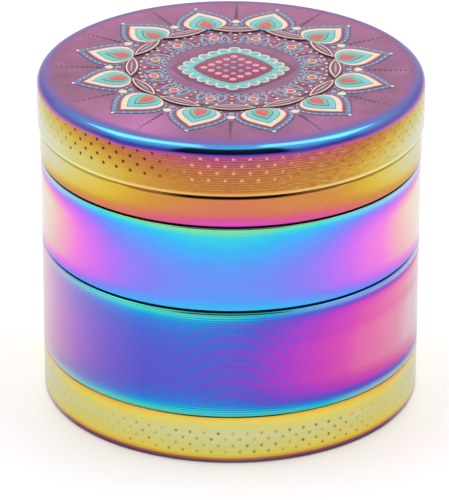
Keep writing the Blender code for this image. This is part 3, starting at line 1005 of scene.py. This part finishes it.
def outside_or_inside(edge_radius, low, high):
    """Chooses material 0 for the outer wall between two heights, and 1 for the rest."""
    def choose(radius, height):
        return 0 if radius > edge_radius and low - WALL_SLACK <= height <= high + WALL_SLACK else 1
    return choose


def kief_tray():
    """The last two corners of each outline are dropped: they only serve to round its other corners."""
    lower = plain_rows(rounded((
        (0.0, 0.0),
        (BODY_RADIUS, 0.0, EDGE),
        (BODY_RADIUS, TRAY_TOP / 2.0),
        (0.0, TRAY_TOP / 2.0),
    ))[:-2])
    upper = plain_rows(rounded((
        (BODY_RADIUS, TRAY_TOP + TRAY_LINE / 2.0, TRAY_LINE_EDGE),
        (BODY_RADIUS - EDGE, TRAY_TOP + TRAY_LINE / 2.0),
        (BODY_RADIUS - 2.0 * EDGE, TRAY_TOP),
        (BORE + LEAD_IN, TRAY_TOP),
        (BORE, TRAY_TOP - LEAD_IN),
        (BORE, TRAY_STEP),
        (TRAY_BOWL, TRAY_STEP, 0.3),
        (TRAY_BOWL, TRAY_FLOOR, 2.0),
        (0.0, TRAY_FLOOR),
        (0.0, 0.0),
        (BODY_RADIUS, 0.0),
    ))[:-2])
    dimples = dimple_rows(BODY_RADIUS, TRAY_DIMPLES, plain_above=True)
    tray = turned("herb_dust_tray", lower + dimples[::-1] + upper)
    combine(tray, thread_ridge("tray_thread", BORE, -1.0, TRAY_THREAD), "UNION")
    inside = inner_plating("tray_inner_plating", TRAY_INSIDE, 0.0, TRAY_TOP)
    choose = outside_or_inside(BODY_RADIUS - WALL_BAND, 0.0, TRAY_TOP + TRAY_LINE)
    dress(tray, "tray", "kief_tray", (tray_outside(), inside), choose)


def sieve_chamber():
    outline = rounded((
        (SIEVE_SPIGOT_BORE, SIEVE_SPIGOT_END),
        (SPIGOT, SIEVE_SPIGOT_END, 0.3),
        (SPIGOT, SIEVE_BOTTOM),
        (BODY_RADIUS - 2.0 * EDGE, SIEVE_BOTTOM),
        (BODY_RADIUS - EDGE, SIEVE_BOTTOM - TRAY_LINE / 2.0),
        (BODY_RADIUS, SIEVE_BOTTOM - TRAY_LINE / 2.0, TRAY_LINE_EDGE),
        (BODY_RADIUS, SIEVE_TOP, EDGE),
        (BORE + LEAD_IN, SIEVE_TOP),
        (BORE, SIEVE_TOP - LEAD_IN),
        (BORE, SIEVE_STEP),
        (SIEVE_BOWL, SIEVE_STEP, 0.3),
        (SIEVE_BOWL, SIEVE_LIP_TOP, 4.4),
        (SIEVE_LIP, SIEVE_LIP_TOP, 0.2),
        (SIEVE_LIP, SIEVE_LIP_UNDER, 0.2),
        (SIEVE_SPIGOT_BORE, SIEVE_LIP_UNDER),
    ))
    chamber = turned("sieve_chamber_body", plain_rows(outline))
    combine(chamber, thread_ridge("male_thread", SPIGOT, 1.0, SIEVE_MALE_THREAD), "UNION")
    combine(chamber, thread_ridge("female_thread", BORE, -1.0, SIEVE_FEMALE_THREAD), "UNION")
    inside = inner_plating("sieve_inner_plating", SIEVE_INSIDE, SIEVE_SPIGOT_END, SIEVE_TOP)
    choose = outside_or_inside(BODY_RADIUS - WALL_BAND, SIEVE_BOTTOM - TRAY_LINE, SIEVE_TOP)
    dress(chamber, "sieve", "sieve_chamber", (sieve_outside(), inside), choose)


def grinding_chamber():
    pocket = MAGNET_RADIUS + GAP
    outline = rounded((
        (CHAMBER_SPIGOT_BORE, CHAMBER_SPIGOT_END),
        (SPIGOT, CHAMBER_SPIGOT_END, 0.3),
        (SPIGOT, CHAMBER_BOTTOM),
        (BODY_RADIUS, CHAMBER_BOTTOM, EDGE),
        (BODY_RADIUS, CHAMBER_TOP, 0.25),
        (RING_SEAT_RADIUS, CHAMBER_TOP, 0.2),
        (RING_SEAT_RADIUS, RING_SEAT),
        (CHAMBER_BORE, RING_SEAT, 0.2),
        (CHAMBER_BORE, CHAMBER_FLOOR, 1.2),
        (POST_RADIUS, CHAMBER_FLOOR, 0.8),
        (POST_RADIUS, POST_TOP, 0.4),
        (pocket, POST_TOP),
        (pocket, POST_TOP - MAGNET_THICK - GAP),
        (0.0, POST_TOP - MAGNET_THICK - GAP),
        (0.0, CHAMBER_UNDER),
        (CHAMBER_SPIGOT_BORE, CHAMBER_UNDER),
    ))
    chamber = turned("grinding_chamber_body", plain_rows(outline))
    combine(chamber, thread_ridge("chamber_thread", SPIGOT, 1.0, CHAMBER_THREAD), "UNION")
    combine(chamber, drop_holes("drop_holes"), "DIFFERENCE")
    combine(chamber, teeth("chamber_teeth", CHAMBER_TEETH, CHAMBER_FLOOR, -1.0, CHAMBER_TEETH_TOP), "UNION")
    inside = inner_plating("chamber_inner_plating", CHAMBER_INSIDE, CHAMBER_SPIGOT_END, CHAMBER_TOP)
    choose = outside_or_inside(BODY_RADIUS - WALL_BAND, CHAMBER_BOTTOM, CHAMBER_TOP)
    dress(chamber, "chamber", "grinding_chamber", (chamber_outside(), inside), choose)


def lid_shell():
    """As in the tray, the last corner of each outline only serves to round the others."""
    pocket = MAGNET_RADIUS + GAP
    rim = plain_rows(rounded((
        (0.0, LID_TOP),
        (LID_RADIUS, LID_TOP, LID_EDGE),
        (LID_RADIUS, LID_BOTTOM),
    ))[:-1])
    middle = (GROOVE_TOP + GROOVE_BOTTOM) / 2.0
    rest = plain_rows(rounded((
        (LID_RADIUS, GROOVE_TOP, 0.3),
        (GROOVE_RADIUS, middle, 0.15),
        (LID_SKIRT_RADIUS, GROOVE_BOTTOM, 0.1),
        (LID_SKIRT_RADIUS, LID_BOTTOM, EDGE),
        (LID_SPIGOT, LID_BOTTOM),
        (LID_SPIGOT, LID_SPIGOT_END, 0.3),
        (LID_BORE, LID_SPIGOT_END, 0.2),
        (LID_BORE, LID_UNDER, 1.2),
        (BOSS_RADIUS, LID_UNDER, 0.8),
        (BOSS_RADIUS, BOSS_END, 0.4),
        (pocket, BOSS_END),
        (pocket, BOSS_END + MAGNET_THICK + GAP),
        (0.0, BOSS_END + MAGNET_THICK + GAP),
        (LID_RADIUS, LID_TOP),
    ))[:-1])
    lid = turned("lid", rim + dimple_rows(LID_RADIUS, LID_DIMPLES) + rest)
    combine(lid, teeth("lid_teeth", LID_TEETH, LID_UNDER, 1.0, LID_TEETH_END), "UNION")
    inside = inner_plating("lid_inner_plating", LID_INSIDE, LID_TEETH_END, LID_UNDER)

    def choose(radius, height):
        on_top = height > LID_TOP - LID_EDGE
        on_wall = radius > LID_SKIRT_RADIUS - WALL_BAND and height > LID_BOTTOM - WALL_SLACK
        return 0 if on_top or on_wall else 1

    dress(lid, "lid", "lid_shell", (lid_outside(), inside), choose)


# ---------------------------------------------------------------- small pieces

def flat_ring(name, node, inner, outer, rounding, segments=SEGMENTS):
    """A ring, or a disc when its inner radius is 0, as high as its CAD node."""
    low = height_of(node, 0)
    high = height_of(node, 1)
    outline = ((inner, low), (outer, low), (outer, high), (inner, high))
    corners = [corner if corner[0] == 0 else (*corner, rounding) for corner in outline]
    return turned(name, plain_rows(rounded(corners), segments))


def magnet(name, node, body, material):
    disc = flat_ring(name, node, 0.0, MAGNET_RADIUS, 0.25, MAGNET_SEGMENTS)
    dress(disc, body, node, (material,))


def glide_ring():
    ring = flat_ring("nylon_glide_ring", "glide_ring", LID_SPIGOT + GAP, RING_SEAT_RADIUS - GAP, 0.25)
    dress(ring, "glide", "glide_ring", (nylon(),))


def retaining_ring():
    node = "screen_retaining_ring"
    ring = flat_ring("screen_ring", node, SIEVE_LIP, radius_of(node), 0.2)
    material = bare_metal("ring_aluminium", "aluminium", "steel_shade", (0.25, 0.4), 0.25)
    dress(ring, "screen_carrier", node, (material,))


def wire(shape, offset, across, centre, phase):
    """One wire of the cloth, waving over and under the wires it crosses."""
    half = math.sqrt(SCREEN_REACH ** 2 - offset ** 2)
    steps = max(2, round(2.0 * half / MESH_PITCH * WIRE_STEPS))
    sections = []
    for step in range(steps + 1):
        along = -half + 2.0 * half * step / steps
        wave = WIRE_WAVE * math.cos(math.pi * (along / MESH_PITCH + phase))
        section = []
        for corner in range(WIRE_SIDES):
            turn = TAU * (corner + 0.5) / WIRE_SIDES
            side = offset + WIRE_RADIUS * math.cos(turn)
            height = centre + wave + WIRE_RADIUS * math.sin(turn)
            x, y = (along, side) if across else (side, along)
            section.append(add_point(shape, x, y, height))
        sections.append(section)
    close_sections(shape, sections)


def screen_cloth():
    shape = bmesh.new()
    centre = (height_of("screen_mesh", 0) + height_of("screen_mesh", 1)) / 2.0
    count = int(SCREEN_REACH / MESH_PITCH)
    for index in range(-count, count + 1):
        for across in (True, False):
            wire(shape, index * MESH_PITCH, across, centre, index + (0 if across else 1))
    material = bare_metal("screen_wire_steel", "aluminium", "steel_shade", (0.3, 0.45), 0.3)
    cloth = link_mesh("woven_screen", shape)
    dress(cloth, "screen_carrier", "screen_mesh", (material,))


# ---------------------------------------------------------------- printed rosette

INK_SINK = 0.02               # how far the print reaches into the plate
INK_STEP = 0.02               # height of one printed layer
INK_SHOULDER = 0.04           # slope at the edge of a layer
PETALS = 12
PETAL_POINTS = 18             # points along each side of a petal
PETAL_BASE_POWER = 0.6        # how fast a petal widens from its base
PETAL_TIP_POWER = 1.15        # and narrows to its tip
PETAL_FULLEST = 0.343         # share of its length where it is widest
PETAL_CROWDING = 1.4          # draws its points towards its base
PRINT_POINTS = 96             # points round a large outline
DOT_POINTS = 14
SMALL_POINTS = 8
DIAMOND_POWER = 1.36          # 1 is a sharp diamond and 2 a circle
LATTICE_PITCH = 1.72
ROSETTE_BACK = 0.4            # how far the print lies behind the plate's middle
ROSETTE_RIGHT = 0.4           # and to its right
ROSETTE_TURN = -1.2           # degrees


def polar(radius, degrees, outward=0.0, sideways=0.0):
    """A point at a radius and angle, moved outward and sideways from there."""
    angle = math.radians(degrees)
    reach = radius + outward
    return (
        reach * math.cos(angle) - sideways * math.sin(angle),
        reach * math.sin(angle) + sideways * math.cos(angle))


def petal_side(share):
    """A petal's half breadth, as a share of its greatest, some way from its base (0) to its tip (1)."""
    fullest = PETAL_FULLEST ** PETAL_BASE_POWER * (1.0 - PETAL_FULLEST) ** PETAL_TIP_POWER
    return share ** PETAL_BASE_POWER * (1.0 - share) ** PETAL_TIP_POWER / fullest


def petal(base, degrees, tip, width):
    """A leaf outline, round at its base and pointed at its tip; the width is half its breadth."""
    right = []
    for step in range(PETAL_POINTS + 1):
        share = (step / PETAL_POINTS) ** PETAL_CROWDING
        right.append((base + (tip - base) * share, width * petal_side(share)))
    left = [(radius, -side) for radius, side in reversed(right[1:-1])]
    return [polar(radius, degrees, 0.0, side) for radius, side in right + left]


def placed(outline):
    """An outline turned and moved to where the print lies on the plate."""
    turn = math.radians(ROSETTE_TURN)
    moved = []
    for x, y in outline:
        across = x * math.cos(turn) - y * math.sin(turn) + ROSETTE_RIGHT
        back = x * math.sin(turn) + y * math.cos(turn) + ROSETTE_BACK
        moved.append((across, back))
    return moved


def dot(centre_radius, degrees, size, points=DOT_POINTS):
    return [polar(centre_radius, degrees, *on_circle(size, angle)) for angle in even(points)]


def lens(centre_radius, degrees, half_length, half_width, tilt=0.0, points=10):
    """A lens outline lying across the radius, or tilted from that."""
    lean = math.radians(tilt)
    outline = []
    for side in (1.0, -1.0):
        for step in range(points):
            share = 2.0 * step / points - 1.0
            along = share * half_length * side
            across = half_width * (1.0 - share * share) * side
            outward = across * math.cos(lean) - along * math.sin(lean)
            sideways = across * math.sin(lean) + along * math.cos(lean)
            outline.append(polar(centre_radius, degrees, outward, sideways))
    return outline


def diamond(reach):
    """A diamond outline with rounded corners, as far across as its reach on each side."""
    outline = []
    for angle in even(PRINT_POINTS):
        size = abs(math.cos(angle)) ** DIAMOND_POWER + abs(math.sin(angle)) ** DIAMOND_POWER
        radius = reach / size ** (1.0 / DIAMOND_POWER)
        outline.append(on_circle(radius, angle))
    return outline


def dot_at(x, y, size, points=DOT_POINTS):
    """A round dot at a place on the plate."""
    return dot(math.hypot(x, y), math.degrees(math.atan2(y, x)), size, points)


def beads(level, outline, count, size, points=DOT_POINTS):
    """Patches: round dots at even steps along a closed outline."""
    steps = list(zip(outline, outline[1:] + outline[:1]))
    lengths = [math.dist(here, there) for here, there in steps]
    pitch = sum(lengths) / count
    made = []
    walked = 0.0
    for (here, there), length in zip(steps, lengths):
        while len(made) * pitch < walked + length and len(made) < count:
            share = (len(made) * pitch - walked) / length
            x = here[0] + (there[0] - here[0]) * share
            y = here[1] + (there[1] - here[1]) * share
            made.append((dot_at(x, y, size, points), level))
        walked += length
    return made


def lattice(level, size, nearest, farthest):
    """Patches: dots of a square lattice, turned to a diamond, between two distances from its centre."""
    made = []
    for row in range(-farthest, farthest + 1):
        for column in range(-farthest, farthest + 1):
            if nearest <= max(abs(row), abs(column)) <= farthest:
                x = (row + column) * LATTICE_PITCH / math.sqrt(2.0)
                y = (row - column) * LATTICE_PITCH / math.sqrt(2.0)
                made.append((dot_at(x, y, size), level))
    return made


def row_of(level, outline, bearings, radius, *sizes):
    """Patches: the same outline at each of some bearings; outline is petal, dot or lens."""
    return [(outline(radius, degrees, *sizes), level) for degrees in bearings]


def add_print(shape, outline, level):
    """One printed patch: a thin closed tablet with sloping edges."""
    outline = placed(outline)
    middle_x = sum(x for x, y in outline) / len(outline)
    middle_y = sum(y for x, y in outline) / len(outline)
    reach = max(math.hypot(x - middle_x, y - middle_y) for x, y in outline)
    shrink = 1.0 - INK_SHOULDER / reach
    foot = LID_TOP - INK_SINK
    top = LID_TOP + level * INK_STEP
    rings = []
    for scale, height in ((1.0, foot), (1.0, top - INK_STEP / 2.0), (shrink, top)):
        rings.append([
            add_point(shape, middle_x + (x - middle_x) * scale, middle_y + (y - middle_y) * scale, height)
            for x, y in outline])
    close_sections(shape, rings)


def add_band(shape, inner, outer, level):
    """One printed ring."""
    foot = LID_TOP - INK_SINK
    top = LID_TOP + level * INK_STEP
    outline = ((inner, foot), (outer, foot), (outer, top), (inner, top))
    rings = []
    for radius, height in outline:
        circle = placed([on_circle(radius, angle) for angle in even(PRINT_POINTS)])
        rings.append([add_point(shape, x, y, height) for x, y in circle])
    for index, ring in enumerate(rings):
        bridge(shape, (ring, []), (rings[(index + 1) % len(rings)], []))


def print_layer(name, colour, patches=(), bands=()):
    """All the print of one colour; a patch is (outline, level) and a band (inner, outer, level)."""
    shape = bmesh.new()
    for outline, level in patches:
        add_print(shape, outline, level)
    for inner, outer, level in bands:
        add_band(shape, inner, outer, level)
    dress(link_mesh(name, shape), "lid", None, (ink(colour),))


def petal_layers(petals):
    """The nested layers of the outer petals, by colour."""
    layers = (                # colour, base, tip, width
        ("navy", 16.9, 27.45, 4.98), ("slate", 17.0, 27.2, 4.8), ("plum", 17.1, 26.0, 4.15),
        ("coral", 17.2, 25.4, 3.78), ("cream_ink", 17.3, 25.1, 3.58), ("slate", 17.5, 23.8, 2.82),
        ("turquoise", 17.55, 23.6, 2.68), ("navy", 17.8, 22.2, 1.72), ("leaf", 17.85, 22.0, 1.6),
        ("coral", 18.0, 21.2, 1.1))
    made = {}
    for level, (colour, *sizes) in enumerate(layers, 1):
        made[colour] = made.get(colour, []) + row_of(level, petal, petals, *sizes)
    return made


def petal_pearls(petals):
    """Small dots along the outline of each petal, and one at its tip."""
    made = []
    for degrees in petals:
        made.append((dot(26.9, degrees, 0.30, 10), 3))
        for side in (1.0, -1.0):
            for share in (0.10, 0.19, 0.29, 0.39, 0.49, 0.59, 0.69, 0.79, 0.88):
                x, y = polar(17.0 + 9.7 * share, degrees, 0.0, side * 4.5 * petal_side(share))
                made.append((dot_at(x, y, 0.13, SMALL_POINTS), 3))
    return made


def inner_wreath(petals, valleys):
    """The wreath of small leaves and berries between the petals and the centre, by colour."""
    leaves = [degrees + turn for degrees in petals for turn in (7.5, -7.5)]
    return {
        "slate": row_of(1, petal, leaves, 11.4, 15.0, 0.95),
        "mist": (
            row_of(2, petal, leaves, 11.55, 14.75, 0.82)
            + row_of(1, lens, petals, 12.1, 0.9, 0.3)
            + row_of(1, lens, petals, 14.75, 1.1, 0.28)
            + row_of(1, lens, around(48, 3.75), 11.35, 0.62, 0.22)),
        "plum": row_of(3, petal, leaves, 11.8, 14.0, 0.42),
        "cream_ink": (
            row_of(2, dot, petals, 13.4, 0.85)
            + row_of(3, dot, valleys, 11.95, 0.24, SMALL_POINTS)
            + row_of(3, dot, valleys, 14.6, 0.3, SMALL_POINTS)
            + row_of(3, dot, around(60, 3.0), 15.45, 0.3, SMALL_POINTS)),
        "coral": row_of(3, dot, petals, 13.4, 0.62),
        "crimson": row_of(2, lens, valleys, 13.2, 1.15, 0.55, 90.0),
        "pink_bead": (
            row_of(3, dot, valleys, 13.2, 0.26, 10)
            + row_of(4, dot, leaves, 12.4, 0.17, SMALL_POINTS)),
        "navy": row_of(3, dot, around(48), 11.25, 0.14, SMALL_POINTS)}


def spokes(valleys):
    """Patches: dots that grow smaller outward between the petals."""
    return [
        (dot(22.3 + 0.86 * step, degrees, 0.40 - 0.026 * step, SMALL_POINTS), 1)
        for degrees in valleys for step in range(9)]


def rosette():
    """A twelve-petalled rosette of general design, printed on the lid's plate."""
    petals = around(PETALS, 15.0)
    valleys = around(PETALS)
    layers = petal_layers(petals)
    wreath = inner_wreath(petals, valleys)

    print_layer("print_slate", "slate", layers["slate"] + wreath["slate"], [(10.85, 11.1, 1)])
    print_layer("print_plum", "plum", layers["plum"] + wreath["plum"] + [(diamond(10.3), 1)])
    print_layer("print_navy", "navy", (
        layers["navy"] + wreath["navy"]
        + row_of(10, lens, valleys, 16.65, 4.4, 1.25)
        + spokes(valleys)), [(15.85, 16.05, 2)])
    print_layer("print_cream", "cream_ink", (
        layers["cream_ink"] + wreath["cream_ink"]
        + row_of(11, lens, valleys, 16.7, 3.95, 1.0)
        + row_of(2, dot, valleys, 20.5, 0.7)
        + beads(2, diamond(8.15), 24, 1.05)))
    print_layer("print_crimson", "crimson", (
        wreath["crimson"]
        + row_of(12, lens, valleys, 16.72, 3.5, 0.74)
        + [(diamond(6.6), 5)]))
    print_layer("print_coral", "coral", layers["coral"] + wreath["coral"])
    print_layer("print_leaf", "leaf", layers["leaf"] + beads(6, diamond(6.7), 28, 0.2, SMALL_POINTS))
    print_layer("print_turquoise", "turquoise", (
        layers["turquoise"]
        + beads(3, diamond(8.1), 24, 0.8)
        + [(diamond(7.4), 4)]))
    print_layer("print_mist", "mist", (
        wreath["mist"]
        + beads(4, diamond(8.3), 24, 0.4, 10)
        + row_of(13, lens, valleys, 16.75, 2.4, 0.2)
        + row_of(2, dot, valleys, 19.0, 0.5)))
    print_layer("print_pearls", "chalk", petal_pearls(petals))
    print_layer("print_pink", "pink_bead", (
        wreath["pink_bead"]
        + lattice(6, 0.6, 2, 2)
        + beads(5, diamond(8.3), 24, 0.16, SMALL_POINTS)))
    print_layer("print_lavender", "lavender", lattice(6, 0.46, 0, 1))


# ---------------------------------------------------------------- stage

CAMERA_PLACE = (-0.00103, -0.61280, 0.31078)     # metres, like the rest of the stage
CAMERA_DOWN = 25.10           # degrees below the horizon
CAMERA_ROLL = 0.10
CAMERA_LENS = 290.60
FLOOR_SIZE = 8.0
FLOOR_GLOW = 0.20
TENT_LEVEL = 0.92             # brightness of the tent
OPENING_DARK = 0.86           # how much of it the opening takes away
OPENING_FACE = (-0.86, -0.78)                    # y of the bearing, from wholly open to shut
OPENING_FOOT = (-0.04, 0.22)                     # height of a direction, from shut to open
OPENING_HEAD = (0.80, 0.92)                      # and from open to shut
SOFTBOX_SIZE = (0.56, 0.8)
SOFTBOX_POWER = 2.1
SOFTBOX_AIM = (0.0, 0.0, 0.03)


def camera():
    data = bpy.data.cameras.new("camera")
    data.lens = CAMERA_LENS
    data.clip_start = 0.05
    view = bpy.data.objects.new("camera", data)
    bpy.context.collection.objects.link(view)
    tilt = Matrix.Rotation(math.radians(90.0 - CAMERA_DOWN), 4, "X")
    roll = Matrix.Rotation(math.radians(CAMERA_ROLL), 4, "Z")
    view.matrix_world = Matrix.Translation(CAMERA_PLACE) @ tilt @ roll
    bpy.context.scene.camera = view


def floor():
    bpy.ops.mesh.primitive_plane_add(size=FLOOR_SIZE)
    plane = bpy.context.object
    plane.name = "floor"
    nodes = Surface("pale_floor")
    cloud = nodes.cloud(0.01, 3.0, 0.3, 0.7, 0.0, 0.3)
    colour = nodes.blend(cloud, "floor_white", "floor_warm")
    nodes.shade(Base_Color=colour, Roughness=0.6, Emission_Color=colour, Emission_Strength=FLOOR_GLOW)
    plane.data.materials.append(nodes.material)


def world():
    """A bright tent, whose open front is the dark that a polished rim mirrors."""
    tent = bpy.data.worlds.new("studio")
    bpy.context.scene.world = tent
    nodes = Nodes(tent)
    x, y, z = nodes.parts(nodes.tree.nodes.new("ShaderNodeTexCoord").outputs["Generated"])
    bearing = nodes.share(y, nodes.distance(x, y))
    in_front = nodes.spread(bearing, *OPENING_FACE, 1.0, 0.0, "SMOOTHSTEP")
    above = nodes.spread(z, *OPENING_FOOT, 0.0, 1.0, "SMOOTHSTEP")
    below = nodes.spread(z, *OPENING_HEAD, 1.0, 0.0, "SMOOTHSTEP")
    opening = nodes.times(nodes.times(in_front, above), below)
    background = nodes.tree.nodes["Background"]
    nodes.put(nodes.math("MULTIPLY_ADD", opening, -OPENING_DARK, TENT_LEVEL), background.inputs["Strength"])
    nodes.put(grey(1.0), background.inputs["Color"])


def softbox(name, place):
    light = bpy.data.lights.new(name, "AREA")
    light.shape = "RECTANGLE"
    light.size, light.size_y = SOFTBOX_SIZE
    light.energy = SOFTBOX_POWER
    lamp = bpy.data.objects.new(name, light)
    bpy.context.collection.objects.link(lamp)
    lamp.location = place
    lamp.rotation_mode = "QUATERNION"
    lamp.rotation_quaternion = (Vector(SOFTBOX_AIM) - Vector(place)).to_track_quat("-Z", "Y")


# ---------------------------------------------------------------- assembly

camera()
kief_tray()
sieve_chamber()
grinding_chamber()
lid_shell()
plated_nickel = bare_metal("magnet_nickel_plate", "nickel", "aluminium", (0.1, 0.22), 0.35)
magnet("post_magnet", "chamber_magnet", "chamber_magnet_carrier", plated_nickel)
magnet("boss_magnet", "lid_magnet", "lid", plated_nickel)
glide_ring()
retaining_ring()
screen_cloth()
rosette()
floor()
world()
softbox("left_softbox", (-0.52, 0.05, 1.0))
softbox("right_softbox", (0.52, 0.05, 1.0))
bpy.context.scene.view_settings.view_transform = "Standard"
